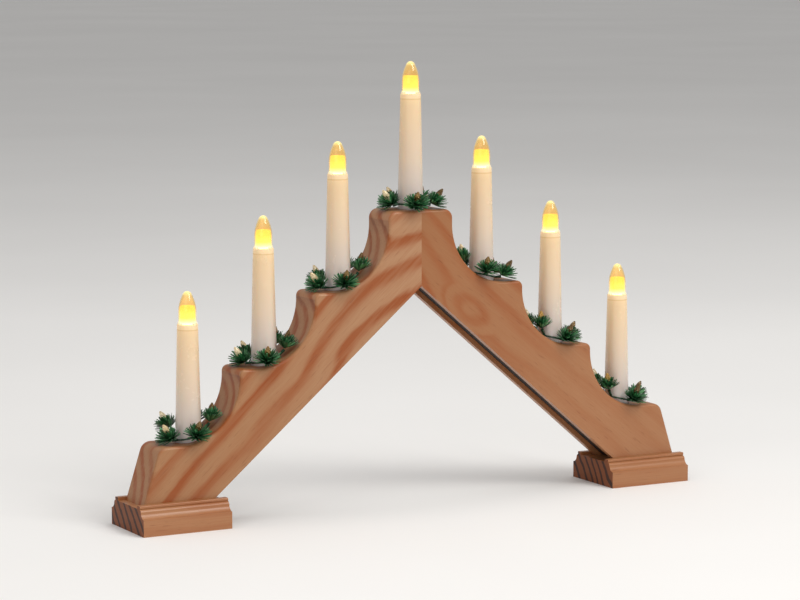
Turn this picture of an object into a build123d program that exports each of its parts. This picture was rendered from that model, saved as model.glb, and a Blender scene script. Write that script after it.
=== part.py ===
from build123d import *
import os
from math import asin, atan2, cos, degrees, pi, radians, sin, sqrt, tan

os.makedirs("parts", exist_ok=True)

# Arch, millimetres: +X to the right, +Y to the back, +Z up, origin on the ground under the peak
arch_width = 400.0
arm_thickness = 30.0
candles_per_side = 3
end_margin = 41.9
lowest_seat = 52.8
seat_flat = 13.2
seat_reach = 23.2
seat_round = 4.0
peak_round = 6.0
end_round = 7.0
riser_flat = 1.3
peak_step = 4.7
mitre_height = 48.8
end_lean = 17.6
end_inset = 4.8
edge_round = 2.0

# Feet
foot_length = 60.0
foot_depth = 50.0
foot_height = 18.5
foot_side_height = 10.8
cove_height = 3.5
cove_inset = 4.1
cove_hollow = 0.7
bead_radius = 2.1
lip_height = 1.4
lip_inset = 5.8
lip_round = 0.6
recess_depth = 2.0
recess_clearance = 0.15

# Wiring channel in the underside and its cover strip
cover_width = 20.0
cover_thickness = 2.5
cover_recess = 3.0
cover_clearance = 0.15
channel_width = 12.0
channel_depth = 14.0
wire_bore = 9.0

# Dowels across the mitre and screws through the feet
dowel_diameter = 6.0
dowel_length = 36.0
dowel_spacing = 19.0
dowel_below_peak = 23.0
dowel_clearance = 0.05
screw_shank = 3.5
screw_head = 7.0
screw_length = 32.0
screw_sink = 0.4
screw_spacing = 15.0
screw_from_end = 24.0
screw_clearance = 0.05
screw_recess_width = 0.9
screw_recess_span = 4.0
screw_recess_depth = 1.2

# Candle sleeve, measured from the seat
sleeve_height = 74.0
sleeve_base_diameter = 17.0
sleeve_top_diameter = 13.25
sleeve_wall = 0.9
sleeve_lip = 1.2
sleeve_lip_clearance = 0.6
sleeve_top_round = 0.35
pocket_depth = 6.0
pocket_clearance = 0.1

# Lampholder with its screw shell and centre contact
holder_length = 22.0
holder_clearance = 0.05
holder_floor = 1.5
shell_wall = 0.25
shell_clearance = 0.04
shell_top_gap = 0.2
terminal_wall = 1.6
button_diameter = 4.4
button_height = 1.0
button_tail_diameter = 2.4
button_tail_length = 4.0
button_clearance = 0.05

# Screw thread of the bulb, a right-hand round thread of the E10 size
thread_diameter = 9.4
thread_pitch = 1.81
thread_height = 0.45
thread_crest = 0.35
thread_root = 0.95
thread_clearance = 0.2
cap_length = 10.0
cap_wall = 0.35
ridge_turns = 4.5
ridge_margin = 0.8

# Bulb
bulb_height = 20.8
bulb_diameter = 11.5
bulb_dome_height = 14.0
bulb_tip_radius = 3.0
bulb_wall = 0.6
bulb_flange_diameter = 12.3
bulb_flange_height = 1.1
bulb_seat_gap = 0.2
neck_length = 4.0
neck_clearance = 0.05
core_gap = 0.15
core_height = 10.3
core_round = 0.8
core_stem_length = 6.0
contact_boss = 1.2
contact_height = 2.3
contact_tip_diameter = 3.0
contact_tip_height = 0.7
contact_gap = 0.2
turning_clearance = 0.08

# Wreath
ring_wire = 1.2
ring_sides = 36
ring_bevel = 0.3
ring_clearance = 0.4
seat_gap = 0.3
tuft_count = 5
needles_per_tuft = 12
needle_length = 5.3
needle_width = 0.6
needle_tip = 0.24
needle_bite = 0.08
bud_radius = 2.0
bud_sides = 8
bud_slope = 20.0
bud_crown = 60.0
twig_diameter = 1.5
twig_sides = 6
open_tuft_reach = 3.6
open_tuft_lift = 0.9
open_tuft_elevation = 35.0
open_tuft_spread = 85.0
wall_tuft_reach = 4.2
wall_tuft_gap = 1.4
wall_tuft_elevation = 72.0
wall_tuft_spread = 60.0
peak_wreath_turn = 18.0

# Wiring
wire_diameter = 1.4
wire_offset = 1.6
link_depth_offset = -1.8
feed_depth_offset = 1.2
return_depth_offset = 2.8
wire_bend = 4.2
wire_sweep = 8.0
wire_turn_run = 5.5
wire_turn_dip = 25.0
wire_feed_run = 7.0
wire_end_gap = 1.5
wire_crest_run = 3.5

# Cord grommet in the back of the left arm
grommet_bore = 5.0
grommet_barrel = 7.6
grommet_flange = 11.0
grommet_flange_height = 1.6
grommet_clearance = 0.05
grommet_from_toe = 1.5

# Places worked out from the sizes above
candle_spacing = (arch_width / 2 - end_margin) / candles_per_side
scoop_radius = candle_spacing - seat_flat
seat_rise = scoop_radius + riser_flat + seat_round
peak_seat = lowest_seat + candles_per_side * seat_rise + peak_step
seat_heights = [peak_seat]
for step in range(candles_per_side):
    seat_heights.append(lowest_seat + (candles_per_side - 1 - step) * seat_rise)
apex_height = peak_seat - mitre_height
slope = atan2(seat_rise, candle_spacing)
arm_floor = foot_height - recess_depth
toe_x = (apex_height - arm_floor) / tan(slope)
arm_run = toe_x / cos(slope)
end_bottom_x = arch_width / 2 - end_inset
end_top_x = end_bottom_x - (lowest_seat - arm_floor) * tan(radians(end_lean))
foot_inner_x = arch_width / 2 - foot_length
screw_x = arch_width / 2 - screw_from_end
dowel_height = peak_seat - dowel_below_peak
cover_seat_depth = cover_recess + cover_thickness
wire_depth = (cover_seat_depth + channel_depth) / 2
underside = Plane(
    origin=(0, 0, apex_height),
    x_dir=(cos(slope), 0, -sin(slope)),
    z_dir=(-sin(slope), 0, -cos(slope)),
)
pilot_radius = screw_shank / 2 + screw_clearance
side_seats = []
for step in range(candles_per_side + 1):
    side_seats.append((step * candle_spacing, seat_heights[step]))


def underside_height(x):
    return apex_height - abs(x) * tan(slope)


def channel_height(x):
    return underside_height(x) + wire_depth / cos(slope)


def is_rim(edge):
    spot = edge.center()
    above_underside = spot.Z - underside_height(spot.X)
    return spot.X > 0.1 and spot.Z > arm_floor + 0.1 and above_underside > 0.1


# Right arm: stepped board with scoops, channel, candle pockets, dowel and screw holes
with BuildPart() as right_arm:
    with BuildSketch(Plane.XZ) as arm_outline:
        corners = []
        with BuildLine():
            start = (0, peak_seat)
            for step in range(candles_per_side):
                riser_x = step * candle_spacing + seat_reach
                lower = seat_heights[step + 1]
                corner = (riser_x, seat_heights[step])
                scoop_top = (riser_x, lower + scoop_radius)
                scoop_middle = (
                    riser_x + scoop_radius * (1 - cos(pi / 4)),
                    lower + scoop_radius * (1 - sin(pi / 4)),
                )
                scoop_end = (riser_x + scoop_radius, lower)
                Polyline(start, corner, scoop_top)
                ThreePointArc(scoop_top, scoop_middle, scoop_end)
                corners.append((corner, seat_round if step else peak_round))
                start = scoop_end
            end_corner = (end_top_x, lowest_seat)
            corners.append((end_corner, end_round))
            Polyline(
                start,
                end_corner,
                (end_bottom_x, arm_floor),
                (toe_x, arm_floor),
                (0, apex_height),
                (0, peak_seat),
            )
        make_face()
        for corner, radius in corners:
            fillet(arm_outline.vertices().sort_by_distance(corner)[0], radius)
    extrude(amount=arm_thickness / 2, both=True)
    fillet(right_arm.faces().filter_by(Axis.Y).edges().filter_by(is_rim), edge_round)
    with BuildSketch(underside):
        Rectangle(3 * arm_run, cover_width)
    extrude(amount=-cover_seat_depth, mode=Mode.SUBTRACT)
    with BuildSketch(underside):
        Rectangle(3 * arm_run, channel_width)
    extrude(amount=-channel_depth, mode=Mode.SUBTRACT)
    for seat_x, seat_z in side_seats:
        with Locations((seat_x, 0, seat_z - pocket_depth)):
            Cylinder(
                sleeve_base_diameter / 2 + pocket_clearance,
                pocket_depth + scoop_radius / 2,
                align=(Align.CENTER, Align.CENTER, Align.MIN),
                mode=Mode.SUBTRACT,
            )
        with Locations((seat_x, 0, underside_height(seat_x))):
            Cylinder(
                wire_bore / 2,
                seat_z - underside_height(seat_x),
                align=(Align.CENTER, Align.CENTER, Align.MIN),
                mode=Mode.SUBTRACT,
            )
    with BuildSketch(Plane.YZ):
        with Locations((0, dowel_height)):
            with GridLocations(dowel_spacing, 0, 2, 1):
                Circle(dowel_diameter / 2 + dowel_clearance)
    extrude(amount=dowel_length / 2 + dowel_clearance, mode=Mode.SUBTRACT)
    with BuildSketch(Plane.XY.offset(arm_floor)):
        with Locations((screw_x, 0)):
            with GridLocations(0, screw_spacing, 1, 2):
                Circle(pilot_radius)
    extrude(amount=screw_length - arm_floor + screw_sink + screw_clearance, mode=Mode.SUBTRACT)
right_arm.part.label = "right_arm"

# Left arm: the mirror image, with the cord hole through its back wall
grommet_x = -(toe_x + grommet_from_toe)
grommet_z = channel_height(grommet_x)
grommet_face = Plane(origin=(grommet_x, arm_thickness / 2, grommet_z), x_dir=(1, 0, 0), z_dir=(0, 1, 0))
grommet_length = (arm_thickness - channel_width) / 2
with BuildPart() as left_arm:
    mirror(right_arm.part, about=Plane.YZ)
    with BuildSketch(grommet_face):
        Circle(grommet_barrel / 2 + grommet_clearance)
    extrude(amount=-grommet_length, mode=Mode.SUBTRACT)
left_arm.part.label = "left_arm"

# Right foot: moulded block with a recess for the arm and countersunk screw holes
lip_outer = foot_depth / 2 - lip_inset
lip_inner = arm_thickness / 2 + recess_clearance
cove_top = (foot_depth / 2 - cove_inset, foot_side_height + cove_height)
bead_top = (cove_top[0] - bead_radius, cove_top[1] + bead_radius)
with BuildPart() as right_foot:
    with BuildSketch(Plane.YZ.offset(foot_inner_x)) as foot_outline:
        with BuildLine():
            side_top = (foot_depth / 2, foot_side_height)
            cove_middle = (
                foot_depth / 2 - cove_inset / 2 - cove_hollow,
                foot_side_height + cove_height / 2 - cove_hollow,
            )
            bead_middle = (
                cove_top[0] - bead_radius * (1 - cos(pi / 4)),
                cove_top[1] + bead_radius * sin(pi / 4),
            )
            Polyline((0, 0), (foot_depth / 2, 0), side_top)
            ThreePointArc(side_top, cove_middle, cove_top)
            ThreePointArc(cove_top, bead_middle, bead_top)
            Polyline(
                bead_top,
                (lip_outer, foot_height - lip_height),
                (lip_outer, foot_height),
                (lip_inner, foot_height),
                (lip_inner, arm_floor),
                (0, arm_floor),
            )
            mirror(about=Plane.YZ)
        make_face()
        for side in (-1, 1):
            fillet(foot_outline.vertices().sort_by_distance((side * lip_outer, foot_height))[0], lip_round)
    extrude(amount=foot_length)
    with Locations(Plane(origin=(screw_x, 0, 0), x_dir=(1, 0, 0), z_dir=(0, 0, -1))):
        with GridLocations(0, screw_spacing, 1, 2):
            CounterSinkHole(
                pilot_radius,
                screw_head / 2 + screw_sink + screw_clearance,
                depth=foot_height,
                counter_sink_angle=90,
            )
right_foot.part.label = "right_foot"

# Left foot
with BuildPart() as left_foot:
    mirror(right_foot.part, about=Plane.YZ)
left_foot.part.label = "left_foot"

# Dowels across the mitre
with BuildPart() as mitre_dowels:
    with BuildSketch(Plane.YZ):
        with Locations((0, dowel_height)):
            with GridLocations(dowel_spacing, 0, 2, 1):
                Circle(dowel_diameter / 2)
    extrude(amount=dowel_length / 2, both=True)
    chamfer(mitre_dowels.edges().filter_by(GeomType.CIRCLE), dowel_diameter / 8)
mitre_dowels.part.label = "mitre_dowels"

# One foot screw, pointing up from its sunk head, with a cross recess
with BuildPart() as screw:
    with BuildSketch(Plane.XZ):
        with BuildLine():
            Polyline(
                (0, screw_sink),
                (screw_head / 2, screw_sink),
                (screw_shank / 2, screw_sink + screw_head / 2 - screw_shank / 2),
                (screw_shank / 2, screw_length - screw_shank),
                (0, screw_length),
                close=True,
            )
        make_face()
    revolve(axis=Axis.Z)
    with BuildSketch(Plane.XY.offset(screw_sink)):
        Rectangle(screw_recess_span, screw_recess_width)
        Rectangle(screw_recess_width, screw_recess_span)
    extrude(amount=screw_recess_depth, mode=Mode.SUBTRACT)

# The four foot screws
with BuildPart() as foot_screws:
    with GridLocations(2 * screw_x, screw_spacing, 2, 2):
        add(screw.part)
foot_screws.part.label = "foot_screws"

# Cover strip in the right arm's channel, cut to the mitre and to the foot
with BuildPart() as right_cover_strip:
    with BuildSketch(underside.offset(-cover_recess)):
        Rectangle(3 * arm_run, cover_width - 2 * cover_clearance)
    extrude(amount=-cover_thickness)
    split(bisect_by=Plane.YZ.offset(cover_clearance), keep=Keep.TOP)
    split(bisect_by=Plane.XY.offset(arm_floor + cover_clearance), keep=Keep.TOP)
right_cover_strip.part.label = "right_cover_strip"

# Cover strip in the left arm's channel
with BuildPart() as left_cover_strip:
    mirror(right_cover_strip.part, about=Plane.YZ)
left_cover_strip.part.label = "left_cover_strip"

# Cord grommet: flanged bush through the left arm's back wall
with BuildPart() as cord_grommet:
    with BuildSketch(grommet_face):
        Circle(grommet_flange / 2)
    extrude(amount=grommet_flange_height)
    fillet(cord_grommet.edges().sort_by(Axis.Y)[-1], grommet_flange_height / 2)
    with BuildSketch(grommet_face):
        Circle(grommet_barrel / 2)
    extrude(amount=-grommet_length)
    with BuildSketch(grommet_face.offset(grommet_flange_height)):
        Circle(grommet_bore / 2)
    extrude(amount=-grommet_length - grommet_flange_height, mode=Mode.SUBTRACT)
cord_grommet.part.label = "cord_grommet"

# Heights of the candle pieces above the candle's seat
holder_top = sleeve_height - sleeve_lip
holder_bottom = holder_top - holder_length
shell_top = holder_top - shell_top_gap
bulb_base = sleeve_height + bulb_seat_gap
bulb_tip = sleeve_height + bulb_height
cap_top = bulb_base
cap_bottom = cap_top - cap_length
contact_bottom = cap_bottom - turning_clearance - contact_height
holder_floor_top = contact_bottom - contact_gap - button_height
holder_floor_bottom = holder_floor_top - holder_floor
cap_radius = thread_diameter / 2 - thread_height
shell_bore_radius = thread_diameter / 2 + thread_clearance
shell_outer_radius = shell_bore_radius + shell_wall
ridge_start = cap_bottom + ridge_margin + thread_root / 2
ridge_rise = ridge_turns * thread_pitch


def sleeve_radius(z):
    share = (z + pocket_depth) / (sleeve_height + pocket_depth)
    return (sleeve_base_diameter + share * (sleeve_top_diameter - sleeve_base_diameter)) / 2


# Candle sleeve: tapered tube with an inward lip at the top
lip_bore = thread_diameter / 2 + sleeve_lip_clearance
with BuildPart() as candle_sleeve:
    with BuildSketch(Plane.XZ):
        with BuildLine():
            Polyline(
                (sleeve_radius(-pocket_depth), -pocket_depth),
                (sleeve_radius(sleeve_height), sleeve_height),
                (lip_bore, sleeve_height),
                (lip_bore, holder_top),
                (sleeve_radius(holder_top) - sleeve_wall, holder_top),
                (sleeve_radius(-pocket_depth) - sleeve_wall, -pocket_depth),
                close=True,
            )
        make_face()
    revolve(axis=Axis.Z)
    top_edges = candle_sleeve.edges().filter_by(GeomType.CIRCLE).group_by(Axis.Z)[-1]
    fillet(top_edges.sort_by(SortBy.RADIUS)[-1], sleeve_top_round)

# Lampholder: tapered plug with the shell's cavity above its floor and the terminals below
cavity_radius = shell_outer_radius + shell_clearance
tail_hole_radius = button_tail_diameter / 2 + button_clearance
with BuildPart() as lampholder:
    with BuildSketch(Plane.XZ):
        with BuildLine():
            holder_inset = sleeve_wall + holder_clearance
            Polyline(
                (cavity_radius, holder_top),
                (sleeve_radius(holder_top) - holder_inset, holder_top),
                (sleeve_radius(holder_bottom) - holder_inset, holder_bottom),
                (sleeve_radius(holder_bottom) - holder_inset - terminal_wall, holder_bottom),
                (sleeve_radius(holder_bottom) - holder_inset - terminal_wall, holder_floor_bottom),
                (tail_hole_radius, holder_floor_bottom),
                (tail_hole_radius, holder_floor_top),
                (cavity_radius, holder_floor_top),
                close=True,
            )
        make_face()
    revolve(axis=Axis.Z)


def thread_section(path, base_offset, crest_offset, root_width, crest_width):
    with BuildSketch(Plane(path @ 0, x_dir=(1, 0, 0), z_dir=path % 0)) as section:
        with BuildLine():
            Polyline(
                (base_offset, -root_width / 2),
                (crest_offset, -crest_width / 2),
                (crest_offset, crest_width / 2),
                (base_offset, root_width / 2),
                close=True,
            )
        make_face()
    return section.sketch


# Screw shell of the lampholder: tube with a helical ridge between the turns of the bulb's thread
with BuildPart() as screw_shell:
    with BuildSketch(Plane.XY.offset(holder_floor_top)):
        Circle(shell_outer_radius)
        Circle(shell_bore_radius, mode=Mode.SUBTRACT)
    extrude(amount=shell_top - holder_floor_top)
    with BuildLine(mode=Mode.PRIVATE) as shell_path:
        shell_root = thread_pitch - thread_crest - 2 * thread_clearance
        shell_crest = thread_pitch - thread_root - 2 * thread_clearance
        shell_start = ridge_start - thread_pitch / 2
        shell_rise = shell_top - ridge_margin - shell_root / 2 - shell_start
        Helix(thread_pitch, shell_rise, shell_bore_radius, center=(0, 0, shell_start))
    shell_section = thread_section(shell_path.line, shell_wall / 2, -thread_height, shell_root, shell_crest)
    sweep(shell_section, path=shell_path.line, is_frenet=True)

# Centre contact of the lampholder: button with a tail through the floor
with BuildPart() as centre_contact:
    with BuildSketch(Plane.XY.offset(holder_floor_top)):
        Circle(button_diameter / 2)
    extrude(amount=button_height)
    with BuildSketch(Plane.XY.offset(holder_floor_top)):
        Circle(button_tail_diameter / 2)
    extrude(amount=-holder_floor - button_tail_length)

# Bulb cap: thin tube with the helical thread ridge
with BuildPart() as bulb_cap:
    with BuildSketch(Plane.XY.offset(cap_bottom)):
        Circle(cap_radius)
        Circle(cap_radius - cap_wall, mode=Mode.SUBTRACT)
    extrude(amount=cap_length)
    with BuildLine(mode=Mode.PRIVATE) as ridge_path:
        Helix(thread_pitch, ridge_rise, cap_radius, center=(0, 0, ridge_start))
    ridge_section = thread_section(ridge_path.line, -cap_wall / 2, thread_height, thread_root, thread_crest)
    sweep(ridge_section, path=ridge_path.line, is_frenet=True)

# Insulator and centre contact under the cap, which rise with the bulb
with BuildPart() as bulb_contact:
    with BuildSketch(Plane.XZ):
        with BuildLine():
            boss_radius = cap_radius - cap_wall - turning_clearance
            shoulder = cap_bottom - turning_clearance
            Polyline(
                (0, cap_bottom + contact_boss),
                (boss_radius, cap_bottom + contact_boss),
                (boss_radius, shoulder),
                (cap_radius, shoulder),
                (contact_tip_diameter / 2, contact_bottom + contact_tip_height),
                (contact_tip_diameter / 2, contact_bottom),
                (0, contact_bottom),
                close=True,
            )
        make_face()
    revolve(axis=Axis.Z)

# Bulb lens: hollow bullet with a flange at its foot and a neck in the cap
neck_radius = cap_radius - cap_wall - neck_clearance
neck_bottom = bulb_base - neck_length
flange_top = bulb_base + bulb_flange_height
lens_radius = bulb_diameter / 2
hollow_radius = lens_radius - bulb_wall
dome_start = bulb_tip - bulb_dome_height
tip_centre = bulb_tip - bulb_tip_radius
side_arc_radius = lens_radius**2 + bulb_dome_height**2 - 2 * bulb_dome_height * bulb_tip_radius
side_arc_radius = side_arc_radius / (2 * (lens_radius - bulb_tip_radius))
side_arc_centre = lens_radius - side_arc_radius
side_arc_sweep = degrees(atan2(tip_centre - dome_start, -side_arc_centre))
with BuildPart() as bulb_lens:
    with BuildSketch(Plane.XZ):
        with BuildLine():
            Line((0, bulb_tip - bulb_wall), (0, bulb_tip))
            for inset in (0, bulb_wall):
                CenterArc((0, tip_centre), bulb_tip_radius - inset, side_arc_sweep, 90 - side_arc_sweep)
                CenterArc((side_arc_centre, dome_start), side_arc_radius - inset, 0, side_arc_sweep)
            Polyline(
                (lens_radius, dome_start),
                (lens_radius, flange_top),
                (bulb_flange_diameter / 2, flange_top),
                (bulb_flange_diameter / 2, bulb_base),
                (neck_radius, bulb_base),
                (neck_radius, neck_bottom),
                (neck_radius - bulb_wall, neck_bottom),
                (neck_radius - bulb_wall, flange_top),
                (hollow_radius, flange_top),
                (hollow_radius, dome_start),
            )
        make_face()
    revolve(axis=Axis.Z)

# Light core: stem in the neck with a glowing head that follows the lens and ends flat
with BuildPart() as bulb_core:
    with BuildSketch(Plane.XZ):
        with BuildLine():
            core_inset = bulb_wall + core_gap
            stem_radius = neck_radius - bulb_wall - neck_clearance
            core_floor = flange_top + neck_clearance
            Polyline(
                (0, bulb_tip - core_inset),
                (0, core_floor - core_stem_length),
                (stem_radius, core_floor - core_stem_length),
                (stem_radius, core_floor),
                (lens_radius - core_inset, core_floor),
                (lens_radius - core_inset, dome_start),
            )
            CenterArc((side_arc_centre, dome_start), side_arc_radius - core_inset, 0, side_arc_sweep)
            CenterArc((0, tip_centre), bulb_tip_radius - core_inset, side_arc_sweep, 90 - side_arc_sweep)
        make_face()
    revolve(axis=Axis.Z)
    split(bisect_by=Plane.XY.offset(core_floor + core_height), keep=Keep.BOTTOM)
    fillet(bulb_core.edges().group_by(Axis.Z)[-1], radius=core_round)

# The faceted bud at the heart of a tuft, on +Z
with BuildPart() as bud:
    for latitude in (-bud_crown, -bud_slope, bud_slope, bud_crown):
        with BuildSketch(Plane.XY.offset(bud_radius * sin(radians(latitude)))):
            RegularPolygon(bud_radius * cos(radians(latitude)), bud_sides)
    loft(ruled=True)

# One needle of a tuft: four-sided and tapered, along +Z, its root just under the bud's facets
bud_flat_radius = bud_radius * cos(pi / bud_sides) * cos(radians((bud_crown - bud_slope) / 2))
needle_root = sqrt(bud_flat_radius**2 - needle_width**2 / 2) - needle_bite
with BuildPart() as needle:
    with BuildSketch(Plane.XY.offset(needle_root)):
        Rectangle(needle_width, needle_width)
    with BuildSketch(Plane.XY.offset(needle_root + needle_length)):
        Rectangle(needle_tip, needle_tip)
    loft(ruled=True)

ring_radius = sleeve_radius(0) + ring_clearance + ring_wire / 2
scoop_offset = seat_reach - candle_spacing + scoop_radius


def scoop_height(reach):
    # Height of the wood above the seat, at a distance uphill from the candle's axis
    run = min(scoop_offset + reach, scoop_radius)
    return scoop_radius - sqrt(scoop_radius**2 - run**2)


ring_height = scoop_height(ring_radius + ring_wire / 2) + ring_wire / 2 + seat_gap
golden_angle = 180 * (3 - sqrt(5))


def tuft_centre(turn, reach, lift):
    radius = ring_radius + reach
    return (radius * cos(radians(turn)), radius * sin(radians(turn)), ring_height + lift)


def tuft_axis(turn, reach, lift, elevation):
    centre = Location(tuft_centre(turn, reach, lift))
    return centre * Rotation(0, 0, turn) * Rotation(0, 90 - elevation, 0)


def tuft_locations(turn, reach, lift, elevation, spread):
    # Each needle leans from the tuft's axis by an angle that fills the cap evenly
    axis = tuft_axis(turn, reach, lift, elevation)
    places = []
    for index in range(needles_per_tuft):
        share = (index + 0.5) / needles_per_tuft
        lean = 2 * degrees(asin(sqrt(share) * sin(radians(spread / 2))))
        places.append(axis * Rotation(0, 0, index * golden_angle) * Rotation(0, lean, 0))
    return places


def make_wreath(tufts):
    with BuildPart() as wreath:
        with BuildSketch(Plane.XY.offset(ring_height - ring_wire / 2)):
            RegularPolygon(ring_radius + ring_wire / 2, ring_sides)
            RegularPolygon(ring_radius - ring_wire / 2, ring_sides, major_radius=False, mode=Mode.SUBTRACT)
        extrude(amount=ring_wire)
        rims = wreath.edges().group_by(Axis.Z)
        chamfer(rims[0] + rims[-1], length=ring_bevel)
        buds = []
        strands = []
        for turn, reach, lift, elevation, spread in tufts:
            centre = tuft_centre(turn, reach, lift)
            root = (ring_radius * cos(radians(turn)), ring_radius * sin(radians(turn)), ring_height)
            twig = Plane(root, z_dir=Vector(*centre) - Vector(*root))
            with BuildSketch(twig):
                RegularPolygon(twig_diameter / 2, twig_sides)
            extrude(amount=(Vector(*centre) - Vector(*root)).length)
            buds.append(tuft_axis(turn, reach, lift, elevation))
            strands.extend(tuft_locations(turn, reach, lift, elevation, spread))
        with Locations(*buds):
            add(bud.part)
        with Locations(*strands):
            add(needle.part)
    return wreath.part


tuft_step = 360 / tuft_count
wall_tuft_end = ring_radius + wall_tuft_reach + needle_root + needle_length
wall_tuft_lift = scoop_height(wall_tuft_end * cos(radians(tuft_step / 2))) - ring_height + wall_tuft_gap
open_tuft = (open_tuft_reach, open_tuft_lift, open_tuft_elevation, open_tuft_spread)
wall_tuft = (wall_tuft_reach, wall_tuft_lift, wall_tuft_elevation, wall_tuft_spread)
peak_tufts = []
side_tufts = []
for index in range(tuft_count):
    turn = 180 + (index - 0.5) * tuft_step
    side_tufts.append((turn, *(wall_tuft if index < 2 else open_tuft)))
    peak_tufts.append((peak_wreath_turn + index * tuft_step, *open_tuft))
side_wreath = make_wreath(side_tufts)
peak_wreath = make_wreath(peak_tufts)

# Candles in a row from left to right, each piece set on its seat
candle_pieces = {
    "candle_sleeve": candle_sleeve.part,
    "lampholder": lampholder.part,
    "bulb_cap": bulb_cap.part,
    "bulb_contact": bulb_contact.part,
    "bulb_lens": bulb_lens.part,
    "bulb_core": bulb_core.part,
}
candle_seats = []
for step in range(-candles_per_side, candles_per_side + 1):
    candle_seats.append((step * candle_spacing, 0, seat_heights[abs(step)]))
for number, seat in enumerate(candle_seats, start=1):
    pieces = dict(candle_pieces)
    pieces["wreath"] = side_wreath if seat[0] else peak_wreath
    facing = 180 if seat[0] < 0 else 0
    for name, master in pieces.items():
        place = Location(seat, (0, 0, facing if name == "wreath" else 0))
        piece = master.moved(place)
        piece.label = f"{name}_{number}"
        export_step(piece, f"parts/{piece.label}.step")

# Screw shells and centre contacts of all the lampholders
with BuildPart() as socket_contacts:
    with Locations(*candle_seats):
        add(screw_shell.part)
        add(centre_contact.part)
socket_contacts.part.label = "socket_contacts"


def drop_points(x, depth_offset, terminal, toward):
    # From a terminal down the bore and round into the channel, in the direction toward
    turn_x = x + toward * wire_turn_run
    turn_z = channel_height(turn_x)
    return [
        (x, depth_offset, terminal),
        (x, depth_offset, turn_z + wire_turn_run * tan(radians(wire_turn_dip))),
        (turn_x, depth_offset, turn_z),
    ]


def make_wire(points, radii):
    with BuildPart() as wire:
        with BuildLine() as route:
            FilletPolyline(*points, radius=radii)
        with BuildSketch(Plane(route.line @ 0, z_dir=route.line % 0)):
            Circle(wire_diameter / 2)
        sweep()
    return wire.part


# Series wiring: links from candle to candle, the feed to the first and the return from the last
terminal_rise = holder_floor_bottom - wire_end_gap
link_wires = []
for lower, upper in zip(candle_seats[:candles_per_side], candle_seats[1:]):
    leave_x = lower[0] + wire_offset
    enter_x = upper[0] - wire_offset
    points = drop_points(leave_x, link_depth_offset, lower[2] + terminal_rise, 1)
    points.append((enter_x, link_depth_offset, channel_height(enter_x)))
    points.append((enter_x, link_depth_offset, upper[2] + terminal_rise))
    link_wires.append(make_wire(points, [wire_bend, wire_bend, wire_sweep]))

first_seat = candle_seats[0]
last_seat = candle_seats[-1]
feed_points = drop_points(first_seat[0] - wire_offset, feed_depth_offset, first_seat[2] + terminal_rise, 1)
feed_end = feed_points[-1][0] + wire_feed_run
feed_points.append((feed_end, feed_depth_offset, channel_height(feed_end)))
feed_wire = make_wire(feed_points, [wire_bend, wire_bend])

return_points = drop_points(last_seat[0] + wire_offset, return_depth_offset, last_seat[2] + terminal_rise, -1)
crest_height = channel_height(wire_crest_run)
return_points.append((wire_crest_run, return_depth_offset, crest_height))
return_points.append((-wire_crest_run, return_depth_offset, crest_height))
return_points.append((feed_end, return_depth_offset, channel_height(feed_end)))
return_wire = make_wire(return_points, [wire_bend, wire_bend, wire_sweep, wire_sweep])

with BuildPart() as wiring:
    add(link_wires)
    mirror(about=Plane.YZ)
    add(feed_wire)
    add(return_wire)
wiring.part.label = "wiring"

for piece in (
    left_arm,
    right_arm,
    left_foot,
    right_foot,
    mitre_dowels,
    foot_screws,
    left_cover_strip,
    right_cover_strip,
    cord_grommet,
    socket_contacts,
    wiring,
):
    export_step(piece.part, f"parts/{piece.part.label}.step")
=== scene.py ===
import math
import random
import bpy
from mathutils import Euler, Matrix, Vector


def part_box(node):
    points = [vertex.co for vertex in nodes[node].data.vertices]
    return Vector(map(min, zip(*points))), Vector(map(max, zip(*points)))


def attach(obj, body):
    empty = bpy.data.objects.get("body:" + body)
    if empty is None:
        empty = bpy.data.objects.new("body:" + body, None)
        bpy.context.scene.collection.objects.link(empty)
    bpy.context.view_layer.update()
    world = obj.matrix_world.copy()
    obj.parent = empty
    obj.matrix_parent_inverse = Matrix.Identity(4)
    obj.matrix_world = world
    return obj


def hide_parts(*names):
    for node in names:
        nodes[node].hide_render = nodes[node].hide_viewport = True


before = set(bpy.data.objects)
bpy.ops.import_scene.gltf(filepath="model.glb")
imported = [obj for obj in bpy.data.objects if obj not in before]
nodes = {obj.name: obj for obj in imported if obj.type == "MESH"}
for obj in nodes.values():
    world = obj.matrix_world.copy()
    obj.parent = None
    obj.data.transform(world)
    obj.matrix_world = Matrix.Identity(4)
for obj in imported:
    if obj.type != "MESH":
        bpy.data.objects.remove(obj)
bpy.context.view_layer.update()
peak = 4  # number of the candle in the middle
candles = range(1, 8)
print("frame loaded:", len(nodes), "nodes")


# small helpers for picking objects and for wiring shader nodes
def pickOnly(*objects):
    bpy.ops.object.select_all(action="DESELECT")
    for obj in objects:
        obj.select_set(True)
    bpy.context.view_layer.objects.active = objects[0]


def setPlace(obj):
    pickOnly(obj)
    bpy.ops.object.transform_apply(location=True, rotation=True, scale=True)


def copyOf(obj, place):
    twin = obj.copy()
    twin.data = obj.data.copy()
    bpy.context.collection.objects.link(twin)
    twin.matrix_world = place
    return twin


def joinAll(objects, name):
    pickOnly(*objects)
    bpy.ops.object.join()
    whole = bpy.context.view_layer.objects.active
    whole.name = name
    setPlace(whole)
    return whole


def wire(tree, source, target):
    if hasattr(source, "is_output"):
        tree.links.new(source, target)
    else:
        target.default_value = source


def calc(tree, operation, first, second=0.0, clamp=False):
    node = tree.nodes.new("ShaderNodeMath")
    node.operation = operation
    node.use_clamp = clamp
    wire(tree, first, node.inputs[0])
    wire(tree, second, node.inputs[1])
    return node.outputs[0]


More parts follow.
